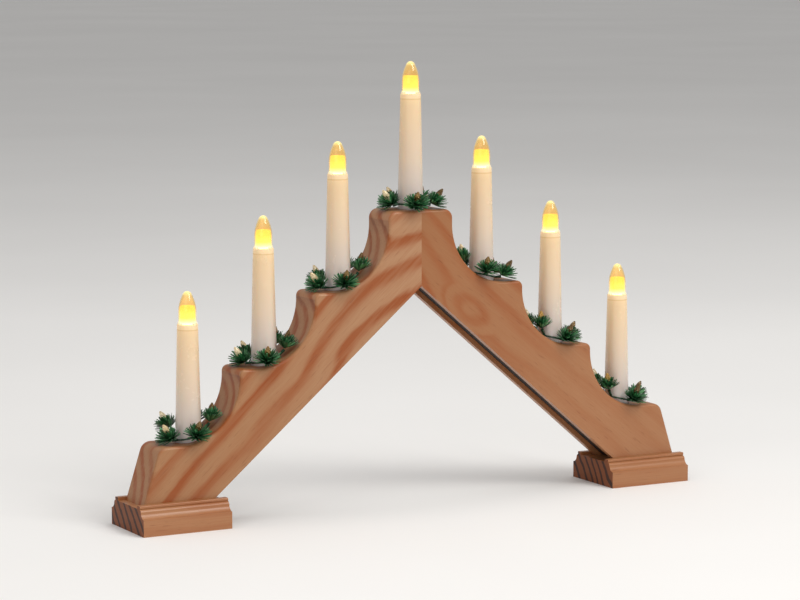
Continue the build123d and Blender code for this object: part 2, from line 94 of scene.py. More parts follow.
def vectorCalc(tree, operation, first, second=(0.0, 0.0, 0.0)):
    node = tree.nodes.new("ShaderNodeVectorMath")
    node.operation = operation
    wire(tree, first, node.inputs[0])
    wire(tree, second, node.inputs[1])
    return node.outputs["Value" if operation in ("LENGTH", "DOT_PRODUCT") else "Vector"]


def ramp(tree, factor, stops):
    node = tree.nodes.new("ShaderNodeValToRGB")
    band = node.color_ramp
    while len(band.elements) < len(stops):
        band.elements.new(0.5)
    for element, (position, tone) in zip(band.elements, stops):
        element.position = position
        element.color = (tone, tone, tone, 1) if isinstance(tone, float) else (*tone, 1)
    wire(tree, factor, node.inputs["Fac"])
    return node.outputs["Color"]


def noise(tree, vector, scale, detail=2.0, output="Fac"):
    node = tree.nodes.new("ShaderNodeTexNoise")
    node.inputs["Scale"].default_value = scale
    node.inputs["Detail"].default_value = detail
    wire(tree, vector, node.inputs["Vector"])
    return node.outputs[output]


def blend(tree, factor, first, second, kind="MIX"):
    node = tree.nodes.new("ShaderNodeMix")
    node.data_type = "RGBA"
    node.blend_type = kind
    wire(tree, factor, node.inputs[0])
    wire(tree, first if hasattr(first, "is_output") else (*first, 1), node.inputs[6])
    wire(tree, second if hasattr(second, "is_output") else (*second, 1), node.inputs[7])
    return node.outputs[2]


def remap(tree, value, low, high, toLow=0.0, toHigh=1.0):
    node = tree.nodes.new("ShaderNodeMapRange")
    node.inputs["From Min"].default_value = low
    node.inputs["From Max"].default_value = high
    node.inputs["To Min"].default_value = toLow
    node.inputs["To Max"].default_value = toHigh
    wire(tree, value, node.inputs["Value"])
    return node.outputs["Result"]


def placed(tree, location=(0, 0, 0), rotation=(0, 0, 0), scale=(1, 1, 1)):
    coords = tree.nodes.new("ShaderNodeTexCoord")
    mapping = tree.nodes.new("ShaderNodeMapping")
    mapping.inputs["Location"].default_value = location
    mapping.inputs["Rotation"].default_value = rotation
    mapping.inputs["Scale"].default_value = scale
    tree.links.new(coords.outputs["Object"], mapping.inputs["Vector"])
    return mapping.outputs["Vector"]


def newFinish(name, **values):
    finish = bpy.data.materials.new(name)
    finish.use_nodes = True
    tree = finish.node_tree
    shader = tree.nodes["Principled BSDF"]
    for socket, value in values.items():
        shader.inputs[socket.replace("_", " ")].default_value = value
    return finish, tree, shader


def bumpInto(tree, shader, height, strength, distance):
    node = tree.nodes.new("ShaderNodeBump")
    node.inputs["Strength"].default_value = strength
    node.inputs["Distance"].default_value = distance
    tree.links.new(height, node.inputs["Height"])
    tree.links.new(node.outputs["Normal"], shader.inputs["Normal"])


def newGroup(name, inputs, outputs):
    tree = bpy.data.node_groups.new(name, "ShaderNodeTree")
    kinds = {"v": "NodeSocketVector", "f": "NodeSocketFloat", "c": "NodeSocketColor"}
    for label, kind in inputs:
        tree.interface.new_socket(name=label, in_out="INPUT", socket_type=kinds[kind])
    for label, kind in outputs:
        tree.interface.new_socket(name=label, in_out="OUTPUT", socket_type=kinds[kind])
    entry = tree.nodes.new("NodeGroupInput")
    leave = tree.nodes.new("NodeGroupOutput")
    return tree, entry.outputs, leave.inputs


def useGroup(tree, group, **values):
    node = tree.nodes.new("ShaderNodeGroup")
    node.node_tree = group
    for label, value in values.items():
        wire(tree, value, node.inputs[label.replace("_", " ")])
    return node.outputs


def readPaint(tree, name):
    node = tree.nodes.new("ShaderNodeAttribute")
    node.attribute_name = name
    return node.outputs["Fac"]


def dress(finish, *names):
    for name in names:
        for socket in nodes[name].material_slots:
            socket.material = finish


# pine: growth rings round a pith along the board's X, with fibre, resin dashes and end grain
grain = {
    "slowWaves": (9, 26, 26),  # waves to the metre, along and across the board
    "slowPush": (0.0, 0.016, 0.016),
    "quickWaves": (40, 170, 170),
    "quickPush": (0.0, 0.0022, 0.0022),
    "lateWood": [(0.0, 0.55), (0.08, 0.12), (0.3, 0.0), (0.5, 0.16), (0.72, 0.8), (0.9, 1.0), (1.0, 0.55)],
    "yearScale": 0.55,
    "yearSpan": (0.32, 0.6, 0.5, 1.0),  # a span takes its first two values to its last two
    "patchWaves": (7, 20, 20),
    "patchSpan": (0.3, 0.6, 0.7, 1.0),
    "featherWaves": (11, 420, 420),
    "featherSpan": (0.35, 0.65, 0.68, 1.1),
    "fibreWaves": (22, 1500, 1500),
    "fibreSpan": (0.3, 0.7, 0.0, 0.22),
    "dashWaves": (95, 1150, 1150),
    "dashSpan": (0.66, 0.76, 0.0, 1.0),
    "dashShade": 0.3,
    "blotchWaves": (18, 34, 34),
    "blotchSpan": (0.35, 0.7, 0.0, 0.16),
    "endWood": [(0.45, 0.0), (0.7, 1.0)],
    "roughSpan": (0.3, 0.7, 0.34, 0.46),
    "endRougher": 0.14,
    "fibreHeight": 0.4,
    "dashDepth": 0.5,
    "lateDepth": 0.25,
}


def waves(tree, board, stretch, detail, output="Fac"):
    return noise(tree, vectorCalc(tree, "MULTIPLY", board, stretch), 1.0, detail, output)


def drift(tree, board, stretch, detail, push):
    cloud = waves(tree, board, stretch, detail, "Color")
    return vectorCalc(tree, "MULTIPLY", vectorCalc(tree, "SUBTRACT", cloud, (0.5, 0.5, 0.5)), push)


def buildPineGroup():
    tree, given, result = newGroup(
        "pineGrain",
        [("Vector", "v"), ("Swirl", "f"), ("Ring Width", "f"), ("Bold", "f"), ("End", "f"),
         ("Pale", "c"), ("Dark", "c"), ("End Pale", "c"), ("End Dark", "c")],
        [("Color", "c"), ("Roughness", "f"), ("Height", "f")],
    )
    board = given["Vector"]
    slow = drift(tree, board, grain["slowWaves"], 1.5, grain["slowPush"])
    quick = drift(tree, board, grain["quickWaves"], 2.0, grain["quickPush"])
    bent = vectorCalc(tree, "ADD", vectorCalc(tree, "ADD", board, slow), quick)
    radius = vectorCalc(tree, "LENGTH", vectorCalc(tree, "MULTIPLY", bent, (0, 1, 1)))
    phase = calc(tree, "ADD", calc(tree, "DIVIDE", radius, given["Ring Width"]), given["Swirl"])
    late = ramp(tree, calc(tree, "FRACT", phase), grain["lateWood"])
    years = tree.nodes.new("ShaderNodeTexNoise")  # some years are bold, some hardly show
    years.noise_dimensions = "1D"
    years.inputs["Scale"].default_value = grain["yearScale"]
    tree.links.new(phase, years.inputs["W"])
    patch = waves(tree, board, grain["patchWaves"], 1.0)
    strength = calc(tree, "MULTIPLY", remap(tree, years.outputs["Fac"], *grain["yearSpan"]),
                    remap(tree, patch, *grain["patchSpan"]))
    feather = waves(tree, board, grain["featherWaves"], 2.0)
    strength = calc(tree, "MULTIPLY", strength, remap(tree, feather, *grain["featherSpan"]))
    streak = calc(tree, "MULTIPLY", calc(tree, "MULTIPLY", late, strength), given["Bold"], clamp=True)
    fibre = waves(tree, board, grain["fibreWaves"], 3.0)
    dash = remap(tree, waves(tree, board, grain["dashWaves"], 1.0), *grain["dashSpan"])
    blotch = waves(tree, board, grain["blotchWaves"], 2.0)
    face = blend(tree, streak, given["Pale"], given["Dark"])
    face = blend(tree, remap(tree, fibre, *grain["fibreSpan"]), face, given["Dark"])
    face = blend(tree, calc(tree, "MULTIPLY", dash, grain["dashShade"]), face, given["Dark"], "MULTIPLY")
    face = blend(tree, remap(tree, blotch, *grain["blotchSpan"]), face, given["Pale"])
    ends = blend(tree, ramp(tree, late, grain["endWood"]), given["End Pale"], given["End Dark"])
    tree.links.new(blend(tree, given["End"], face, ends), result["Color"])
    rough = calc(tree, "ADD", remap(tree, fibre, *grain["roughSpan"]),
                 calc(tree, "MULTIPLY", given["End"], grain["endRougher"]))
    tree.links.new(rough, result["Roughness"])
    height = calc(tree, "SUBTRACT", calc(tree, "MULTIPLY", fibre, grain["fibreHeight"]),
                  calc(tree, "MULTIPLY", dash, grain["dashDepth"]))
    height = calc(tree, "SUBTRACT", height, calc(tree, "MULTIPLY", late, grain["lateDepth"]))
    tree.links.new(height, result["Height"])
    return tree


# faint mottling that every moulded or metal part shares
mottling = {
    "low": 0.3,
    "high": 0.7,
    "speckScale": 9.0,
    "cloudShare": 0.6,
    "speckShare": 0.4,
}


def buildMottleGroup():
    tree, given, result = newGroup(
        "mouldMottle",
        [("Vector", "v"), ("Scale", "f"), ("Light", "c"), ("Shade", "c"),
         ("Rough Low", "f"), ("Rough High", "f")],
        [("Color", "c"), ("Roughness", "f"), ("Height", "f")],
    )
    scaled = vectorCalc(tree, "SCALE", given["Vector"])
    tree.links.new(given["Scale"], tree.nodes[-1].inputs["Scale"])
    cloud = noise(tree, scaled, 1.0, 3.0)
    speck = noise(tree, scaled, mottling["speckScale"], 2.0)
    tone = remap(tree, cloud, mottling["low"], mottling["high"])
    tree.links.new(blend(tree, tone, given["Shade"], given["Light"]), result["Color"])
    both = calc(tree, "ADD", calc(tree, "MULTIPLY", cloud, mottling["cloudShare"]),
                calc(tree, "MULTIPLY", speck, mottling["speckShare"]))
    share = remap(tree, both, mottling["low"], mottling["high"])
    spread = calc(tree, "SUBTRACT", given["Rough High"], given["Rough Low"])
    rough = calc(tree, "ADD", given["Rough Low"], calc(tree, "MULTIPLY", share, spread))
    tree.links.new(rough, result["Roughness"])
    tree.links.new(speck, result["Height"])
    return tree


def mottled(tree, look):
    return useGroup(tree, mottleGroup, Vector=placed(tree), Scale=look["scale"], Light=(*look["light"], 1),
                    Shade=(*look["shade"], 1), Rough_Low=look["rough"][0], Rough_High=look["rough"][1])


pineGroup = buildPineGroup()
mottleGroup = buildMottleGroup()
print("shared grain and mottle groups built")

# boards: grain direction, pith place and colours of the two arms and the two feet
pine = {
    "dark": (0.3, 0.07, 0.011),
    "endPale": (0.215, 0.06, 0.016),
    "endDark": (0.045, 0.014, 0.006),
    "bumpStrength": 0.12,
    "bumpDepth": 0.0004,
    "bowReach": 0.065,  # the grain bends within this distance of the mitre
    "calmFrom": 0.05,  # the figure fades to its calm strength between these distances
    "calmTo": 0.1,
    "farAway": 0.13,  # here the board has its far colour
    "knotSize": (0.027, 0.06, 0.013),
    "knotRings": 1.35,
    "knotEye": [(0.0, 1.0), (0.5, 0.7), (1.0, 0.0)],
    "endSpan": (0.62, 0.97),  # how far a face turns into the grain before it shows as end grain
    "coatSpan": (0.4, 0.8),  # end grain drinks up the lacquer
    "coatRough": 0.22,
    "gloss": 0.32,
}
boards = {
    "left_arm": {
        "turn": (0, 43.0, 2.0), "pith": (0.0, -0.065, -0.07), "ring": 0.0078, "bold": 1.35, "calm": 1.35,
        "pale": (0.45, 0.25, 0.133), "far": (0.39, 0.199, 0.092), "bow": 300.0, "knot": None, "coat": 0.14,
    },
    "right_arm": {
        "turn": (0, -38.0, -2.0), "pith": (0.0, -0.072, -0.064), "ring": 0.0105, "bold": 1.0, "calm": 0.42,
        "pale": (0.34, 0.147, 0.058), "far": (0.395, 0.187, 0.085), "bow": -170.0,
        "knot": (0.033, -0.015, 0.125), "coat": 0.14,
    },
    "left_foot": {
        "turn": (0, 0, 0.6), "pith": (0.0, 0.075, -0.055), "ring": 0.0074, "bold": 0.5, "calm": 0.5,
        "pale": (0.41, 0.19, 0.082), "far": (0.41, 0.19, 0.082), "bow": 0.0, "knot": None, "coat": 0.4,
    },
    "right_foot": {
        "turn": (0, 0, -0.5), "pith": (0.0, 0.082, -0.06), "ring": 0.0074, "bold": 0.5, "calm": 0.5,
        "pale": (0.39, 0.176, 0.074), "far": (0.39, 0.176, 0.074), "bow": 0.0, "knot": None, "coat": 0.4,
    },
}


def makePine(name, board):
    finish, tree, shader = newFinish("pine_" + name, Coat_Roughness=pine["coatRough"],
                                     Specular_IOR_Level=pine["gloss"])
    turn = [math.radians(angle) for angle in board["turn"]]
    turned = Euler(turn, "XYZ").to_matrix()
    vector = placed(tree, board["pith"], turn)
    across = tree.nodes.new("ShaderNodeSeparateXYZ")
    tree.links.new(placed(tree), across.inputs["Vector"])
    away = calc(tree, "ABSOLUTE", across.outputs["X"])
    bold = remap(tree, away, pine["calmFrom"], pine["calmTo"], board["bold"], board["calm"])
    pale = blend(tree, remap(tree, away, 0.0, pine["farAway"]), board["pale"], board["far"])
    near = calc(tree, "SUBTRACT", pine["bowReach"], away)
    near = calc(tree, "POWER", calc(tree, "MAXIMUM", near, 0.0), 2.0)
    swirl = calc(tree, "MULTIPLY", near, board["bow"])
    if board["knot"]:
        centre = turned @ Vector(board["knot"]) + Vector(board["pith"])
        spot = vectorCalc(tree, "SUBTRACT", vector, tuple(centre))
        spot = vectorCalc(tree, "DIVIDE", spot, pine["knotSize"])
        eye = ramp(tree, vectorCalc(tree, "LENGTH", spot), pine["knotEye"])
        swirl = calc(tree, "ADD", swirl, calc(tree, "MULTIPLY", eye, pine["knotRings"]))
    along = turned.inverted() @ Vector((1, 0, 0))
    coords = tree.nodes.new("ShaderNodeTexCoord")
    facing = calc(tree, "ABSOLUTE", vectorCalc(tree, "DOT_PRODUCT", coords.outputs["Normal"], tuple(along)))
    figure = useGroup(tree, pineGroup, Vector=vector, Swirl=swirl, Ring_Width=board["ring"], Bold=bold,
                      End=remap(tree, facing, *pine["endSpan"]), Pale=pale, Dark=(*pine["dark"], 1),
                      End_Pale=(*pine["endPale"], 1), End_Dark=(*pine["endDark"], 1))
    tree.links.new(figure["Color"], shader.inputs["Base Color"])
    tree.links.new(figure["Roughness"], shader.inputs["Roughness"])
    tree.links.new(remap(tree, facing, *pine["coatSpan"], board["coat"], 0.0), shader.inputs["Coat Weight"])
    bumpInto(tree, shader, figure["Height"], pine["bumpStrength"], pine["bumpDepth"])
    return finish


for boardName, boardValues in boards.items():
    dress(makePine(boardName, boardValues), boardName)
print("pine on arms and feet")

# candle sleeves: creamy plastic with painted lamp light: the colour warms towards the lamp and the sleeve
# glows most near its top
sleeve = {
    "pocket": 0.006,
    "height": 0.074,
    # body: the plastic's cream tone, warming towards the top with painted lamp light
    "body": [(0.0, (0.62, 0.57, 0.575)), (0.45, (0.715, 0.58, 0.45)), (0.948, (0.735, 0.565, 0.36)),
             (0.956, (0.6, 0.42, 0.22)), (0.964, (0.76, 0.6, 0.4)), (1.0, (0.78, 0.62, 0.42))],
    # glow: painted lamp light given off by the sleeve itself, strongest near the top
    "glow": [(0.0, (0.0, 0.0, 0.0)), (0.35, (0.05, 0.02, 0.0)), (0.9, (0.42, 0.22, 0.06)),
             (1.0, (0.7, 0.42, 0.12))],
    "paintedGlowStrength": 0.36,
    "coat": 0.35,
    "coatRough": 0.08,
    "soak": 0.12,  # light that enters the plastic, and how deep it goes
    "soakDepth": 0.003,
    "mottle": {"scale": 45.0, "light": (1, 1, 1), "shade": (0.992, 0.99, 0.987), "rough": (0.25, 0.28)},
}


def seatOf(number):
    low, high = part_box("candle_sleeve_%d" % number)
    return Vector(((low[0] + high[0]) / 2, (low[1] + high[1]) / 2, low[2] + sleeve["pocket"]))


def heightOver(tree, base, length):
    vector = placed(tree, (0, 0, -base / length), (0, 0, 0), (1 / length, 1 / length, 1 / length))
    split = tree.nodes.new("ShaderNodeSeparateXYZ")
    tree.links.new(vector, split.inputs["Vector"])
    return split.outputs["Z"]


def makeSleeve(number):
    finish, tree, shader = newFinish("candlePlasticPaintedGlow_%d" % number, Coat_Weight=sleeve["coat"],
                                     Coat_Roughness=sleeve["coatRough"], Subsurface_Weight=sleeve["soak"],
                                     Subsurface_Scale=sleeve["soakDepth"],
                                     Emission_Strength=sleeve["paintedGlowStrength"])
    # painted lamp light: by height alone, the sleeve glows and its colour warms towards the lamp
    rise = heightOver(tree, seatOf(number).z, sleeve["height"])
    mottle = mottled(tree, sleeve["mottle"])
    body = blend(tree, 1.0, ramp(tree, rise, sleeve["body"]), mottle["Color"], "MULTIPLY")
    tree.links.new(body, shader.inputs["Base Color"])
    tree.links.new(mottle["Roughness"], shader.inputs["Roughness"])
    tree.links.new(ramp(tree, rise, sleeve["glow"]), shader.inputs["Emission Color"])
    return finish


# lamps: clear bullet over a glowing core
lamp = {
    "base": 0.0742,
    "height": 0.0208,
    "clear": [(0.0, (1.0, 0.94, 0.74)), (0.58, (0.93, 0.72, 0.46)), (0.8, (0.95, 0.78, 0.54)),
              (1.0, (1.0, 0.9, 0.66))],
    "clearBend": 1.45,
    "clearMottle": {"scale": 260.0, "light": (1, 1, 1), "shade": (0.98, 0.975, 0.96), "rough": (0.0, 0.03)},
    "haze": [(0.0, (0.22, 0.17, 0.1)), (0.05, (0.2, 0.15, 0.08)), (0.1, (0.06, 0.043, 0.014)),
             (0.85, (0.1, 0.075, 0.02)), (1.0, (0.3, 0.25, 0.09))],
    "hazeStrength": 1.0,
    "core": [(0.0, (1.0, 0.93, 0.62)), (0.07, (1.0, 0.88, 0.4)), (0.2, (0.95, 0.58, 0.1)),
             (0.55, (0.9, 0.53, 0.085))],
    "coreStrength": 1.5,
    "coreMottle": {"scale": 300.0, "light": (1, 1, 1), "shade": (0.94, 0.92, 0.88), "rough": (0.3, 0.45)},
}


def lampRise(tree, number):
    return heightOver(tree, seatOf(number).z + lamp["base"], lamp["height"])


def makeClear(number):
    finish, tree, shader = newFinish("bulbClear_%d" % number, Transmission_Weight=1.0,
                                     IOR=lamp["clearBend"], Emission_Strength=lamp["hazeStrength"])
    rise = lampRise(tree, number)
    mottle = mottled(tree, lamp["clearMottle"])
    tint = blend(tree, 1.0, ramp(tree, rise, lamp["clear"]), mottle["Color"], "MULTIPLY")
    tree.links.new(tint, shader.inputs["Base Color"])
    tree.links.new(mottle["Roughness"], shader.inputs["Roughness"])
    tree.links.new(ramp(tree, rise, lamp["haze"]), shader.inputs["Emission Color"])
    return finish


def makeCore(number):
    finish, tree, shader = newFinish("bulbGlow_%d" % number, Emission_Strength=lamp["coreStrength"])
    mottle = mottled(tree, lamp["coreMottle"])
    glow = blend(tree, 1.0, ramp(tree, lampRise(tree, number), lamp["core"]), mottle["Color"], "MULTIPLY")
    tree.links.new(glow, shader.inputs["Emission Color"])
    tree.links.new(glow, shader.inputs["Base Color"])
    tree.links.new(mottle["Roughness"], shader.inputs["Roughness"])
    return finish


for number in candles:
    dress(makeSleeve(number), "candle_sleeve_%d" % number)
    dress(makeClear(number), "bulb_lens_%d" % number)
    dress(makeCore(number), "bulb_core_%d" % number)
print("sleeves and lamps finished")

# plain moulded, metal and board parts
smallBump = {"strength": 0.1, "depth": 0.0002}
smallParts = {
    "holderPlastic": {
        "light": (0.82, 0.8, 0.74), "shade": (0.76, 0.74, 0.68), "rough": (0.35, 0.5), "scale": 120.0,
        "metal": 0.0, "on": ["lampholder_%d" % n for n in candles],
    },
    "capMetal": {
        "light": (0.82, 0.74, 0.52), "shade": (0.66, 0.55, 0.33), "rough": (0.22, 0.42), "scale": 400.0,
        "metal": 1.0, "on": ["bulb_cap_%d" % n for n in candles],
    },
    "contactFoot": {
        "light": (0.05, 0.05, 0.055), "shade": (0.02, 0.02, 0.024), "rough": (0.2, 0.4), "scale": 300.0,
        "metal": 0.0, "on": ["bulb_contact_%d" % n for n in candles],
    },
    "socketBrass": {
        "light": (0.83, 0.62, 0.28), "shade": (0.62, 0.43, 0.17), "rough": (0.25, 0.45), "scale": 300.0,
        "metal": 1.0, "on": ["socket_contacts"],
    },
    "screwZinc": {
        "light": (0.72, 0.72, 0.7), "shade": (0.5, 0.5, 0.5), "rough": (0.25, 0.5), "scale": 260.0,
        "metal": 1.0, "on": ["foot_screws"],
    },
    "dowelBeech": {
        "light": (0.62, 0.4, 0.24), "shade": (0.48, 0.28, 0.15), "rough": (0.5, 0.7), "scale": 140.0,
        "metal": 0.0, "on": ["mitre_dowels"],
    },
    # cover strips: dark board, darkened to near-black as painted shade under the arms
    "coverBoardAndShade": {
        "light": (0.02, 0.013, 0.0105), "shade": (0.009, 0.006, 0.005), "rough": (0.55, 0.8),
        "scale": 160.0, "metal": 0.0, "on": ["left_cover_strip", "right_cover_strip"],
    },
    "grommetBlack": {
        "light": (0.035, 0.035, 0.036), "shade": (0.016, 0.016, 0.017), "rough": (0.4, 0.6), "scale": 240.0,
        "metal": 0.0, "on": ["cord_grommet"],
    },
    "wireGreen": {
        "light": (0.03, 0.12, 0.05), "shade": (0.015, 0.07, 0.03), "rough": (0.35, 0.5), "scale": 200.0,
        "metal": 0.0, "on": ["wiring"],
    },
}


def makeSmall(name, part):
    finish, tree, shader = newFinish(name, Metallic=part["metal"])
    mottle = mottled(tree, part)
    tree.links.new(mottle["Color"], shader.inputs["Base Color"])
    tree.links.new(mottle["Roughness"], shader.inputs["Roughness"])
    bumpInto(tree, shader, mottle["Height"], smallBump["strength"], smallBump["depth"])
    return finish


for partName, partValues in smallParts.items():
    dress(makeSmall(partName, partValues), *partValues["on"])
print("small parts finished")

# wreaths: a wrapped wire ring, tilted with the step, and five needle tufts round gilded buds
wreath = {
    "ringRadius": 0.00936,
    "ringWire": 0.0012,
    "ringThin": 0.42,  # radius of the bare wire, as a share of the wrapped one's width
    "ringSteps": 60,
    "ringSides": 8,
    "wrapEvery": 4,
    "wrapInset": 0.03,
    "wrapHeight": 0.07,
    "ringHeight": 0.0041,
    "peakRingHeight": 0.0034,
    "scoopRadius": 0.0395,
    "scoopStart": 0.01,
    "tufts": 5,
    "firstTurn": {1: 15.0, 2: 0.0, 3: 8.0, 4: 39.0, 5: 38.0, 6: 0.0, 7: 0.0},  # from downhill, in degrees
    "tilt": 13.5,  # follows the rise of the wood
    "reach": 0.0037,
    "lift": 0.0019,  # middle of a tuft over the wood beside it
    "liftWander": 0.0008,
    "slopeLift": 0.0002,
    "raised": {(1, 4): 0.005},  # candle and tuft that stand up more than the rest
    "woodAhead": 0.003,
    "elevation": 55.0,
    "slopeElevation": 26.0,
    "wander": 5.0,
    "spread": 77.0,
    "slopeSpread": 17.0,
    "whorls": [(32, 1.0, 1.0), (28, 0.8, 1.04), (23, 0.61, 1.06), (8, 0.42, 0.95)],  # count, spread, length
    "turnWander": 0.3,
    "leanWander": 9,
    "lengthWander": (0.92, 1.06),
    "toneCurve": 1.3,
    "needleRoot": 0.0008,
    "needleLength": 0.0095,
    "needleWidth": 0.0012,
    "needleThick": 0.00036,
    "needleBend": 0.0027,
    "needleLevels": [(0.35, 1.2), (0.7, 1.35)],  # a strip that stays wide, then runs out to its point
    "needleTip": 0.95,
    "shy": 0.34,  # outer needles on the candle side are shorter by this share
    "budBase": 0.0034,
    "budLength": 0.0096,
    "budWidth": 0.0037,
    "budSides": 12,
    "budRings": 10,
    "budLevels": [(0.55, 0.93), (0.7, 0.86), (0.85, 0.75)],  # drawn in towards the tip
    "scaleInset": 0.04,
    "scaleHeight": 0.06,
    "twig": 0.00075,
    "twigSides": 7,
    "twigFlare": 1.35,
    "paintedShineTurn": 150.0,  # buds that face this way get a painted highlight, and the buds facing away get painted shade
    "seed": 11,
}
needleLook = {
    "leaf": [(0.0, (0.006, 0.052, 0.014)), (0.6, (0.024, 0.16, 0.05)), (1.0, (0.13, 0.4, 0.17))],
    "rootShade": (0.004, 0.03, 0.01),
    "rootShadeSpan": (0.0, 0.7, 0.75, 0.0),  # painted shade: darker green towards the needle roots, in the middle of the tuft
    "coat": 0.5,
    "coatRough": 0.18,
    "mottle": {"scale": 700.0, "light": (1, 1, 1), "shade": (0.75, 0.8, 0.75), "rough": (0.28, 0.45)},
}
budLook = {
    # gilt: from painted shade (dark bronze) through amber to a painted highlight (bright cream)
    "giltWithPaintedShine": [(0.0, (0.15, 0.09, 0.027)), (0.5, (0.6, 0.38, 0.1)), (1.0, (1.0, 0.94, 0.72))],
    # buds with the painted highlight are also made less metallic
    "metalSpan": (0.0, 1.0, 0.7, 0.15),
    "coat": 0.5,
    "coatRough": 0.1,
    "bumpStrength": 0.2,
    "bumpDepth": 0.0001,
    "mottle": {"scale": 900.0, "light": (1, 1, 1), "shade": (0.7, 0.62, 0.5), "rough": (0.16, 0.4)},
}
ringLook = {
    "bumpStrength": 0.15,
    "bumpDepth": 0.0001,
    "mottle": {"scale": 600.0, "light": (0.012, 0.075, 0.032), "shade": (0.005, 0.036, 0.016),
               "rough": (0.35, 0.5)},
}
draw = random.Random(wreath["seed"])


def makeNeedleFinish():
    finish, tree, shader = newFinish("needleGreen", Coat_Weight=needleLook["coat"],
                                     Coat_Roughness=needleLook["coatRough"])
    mottle = mottled(tree, needleLook["mottle"])
    leaf = ramp(tree, readPaint(tree, "needleToneAndBudShine"), needleLook["leaf"])
    # painted shade: the needles darken towards their roots
    root = remap(tree, readPaint(tree, "needleReach"), *needleLook["rootShadeSpan"])
    leaf = blend(tree, root, leaf, needleLook["rootShade"])
    tree.links.new(blend(tree, 1.0, leaf, mottle["Color"], "MULTIPLY"), shader.inputs["Base Color"])
    tree.links.new(mottle["Roughness"], shader.inputs["Roughness"])
    return finish


def makeBudFinish():
    finish, tree, shader = newFinish("budGold", Coat_Weight=budLook["coat"],
                                     Coat_Roughness=budLook["coatRough"])
    mottle = mottled(tree, budLook["mottle"])
    # on needles this tone is random; on buds it is a painted highlight set by which way the bud faces
    tone = readPaint(tree, "needleToneAndBudShine")
    giltWithPaintedShine = ramp(tree, tone, budLook["giltWithPaintedShine"])
    tree.links.new(blend(tree, 1.0, giltWithPaintedShine, mottle["Color"], "MULTIPLY"), shader.inputs["Base Color"])
    tree.links.new(mottle["Roughness"], shader.inputs["Roughness"])
    tree.links.new(remap(tree, tone, *budLook["metalSpan"]), shader.inputs["Metallic"])
    bumpInto(tree, shader, mottle["Height"], budLook["bumpStrength"], budLook["bumpDepth"])
    return finish


def makeRingFinish():
    finish, tree, shader = newFinish("ringGreen")
    mottle = mottled(tree, ringLook["mottle"])
    tree.links.new(mottle["Color"], shader.inputs["Base Color"])
    tree.links.new(mottle["Roughness"], shader.inputs["Roughness"])
    bumpInto(tree, shader, mottle["Height"], ringLook["bumpStrength"], ringLook["bumpDepth"])
    return finish


def paint(obj, name, values):
    layer = obj.data.attributes.get(name) or obj.data.attributes.new(name, "FLOAT", "POINT")
    layer.data.foreach_set("value", values)


def selectVerts(obj, test):
    bpy.ops.object.mode_set(mode="EDIT")
    bpy.ops.mesh.select_mode(type="VERT")
    bpy.ops.mesh.select_all(action="DESELECT")
    bpy.ops.object.mode_set(mode="OBJECT")
    for vertex in obj.data.vertices:
        vertex.select = test(vertex.co)
    bpy.ops.object.mode_set(mode="EDIT")


def selectFaces(obj, test):
    bpy.ops.object.mode_set(mode="EDIT")
    bpy.ops.mesh.select_mode(type="FACE")
    bpy.ops.mesh.select_all(action="DESELECT")
    bpy.ops.object.mode_set(mode="OBJECT")
    for polygon in obj.data.polygons:
        polygon.select = test(polygon)
    bpy.ops.object.mode_set(mode="EDIT")


def modelNeedle(finish):
    root, length, wide = wreath["needleRoot"], wreath["needleLength"], wreath["needleWidth"]
    bpy.ops.object.select_all(action="DESELECT")
    bpy.ops.mesh.primitive_cone_add(vertices=4, radius1=wide / 2, radius2=wide / 3, depth=length,
                                    location=(0, 0, root + length / 2))
    needle = bpy.context.object
    setPlace(needle)
    for share, wider in wreath["needleLevels"]:
        bpy.ops.object.mode_set(mode="EDIT")
        bpy.ops.mesh.select_all(action="SELECT")
        bpy.ops.mesh.bisect(plane_co=(0, 0, root + share * length), plane_no=(0, 0, 1))
        bpy.ops.object.mode_set(mode="OBJECT")
    for share, wider in wreath["needleLevels"]:
        selectVerts(needle, lambda co: abs(co.z - root - share * length) < 1e-5)
        bpy.ops.transform.resize(value=(wider, wider, 1))
        bpy.ops.transform.translate(value=(-wreath["needleBend"] * share * share, 0, 0))
        bpy.ops.object.mode_set(mode="OBJECT")
    selectVerts(needle, lambda co: co.z > root + wreath["needleTip"] * length)
    bpy.ops.transform.translate(value=(-wreath["needleBend"], 0, 0))
    bpy.ops.mesh.select_all(action="SELECT")
    bpy.ops.transform.resize(value=(wreath["needleThick"] / wide, 1, 1))
    bpy.ops.object.mode_set(mode="OBJECT")
    paint(needle, "needleReach", [(vertex.co.z - root) / length for vertex in needle.data.vertices])
    needle.data.materials.append(finish)
    return needle


def isScale(polygon):  # every other face of the bud, by its place
    middle = polygon.center
    drop = math.acos(2 * (middle.z - wreath["budBase"]) / wreath["budLength"] - 1)
    row = drop * wreath["budRings"] // math.pi
    column = math.atan2(middle.y, middle.x) * wreath["budSides"] // (2 * math.pi)
    return len(polygon.vertices) == 4 and (row + column) % 2 == 0


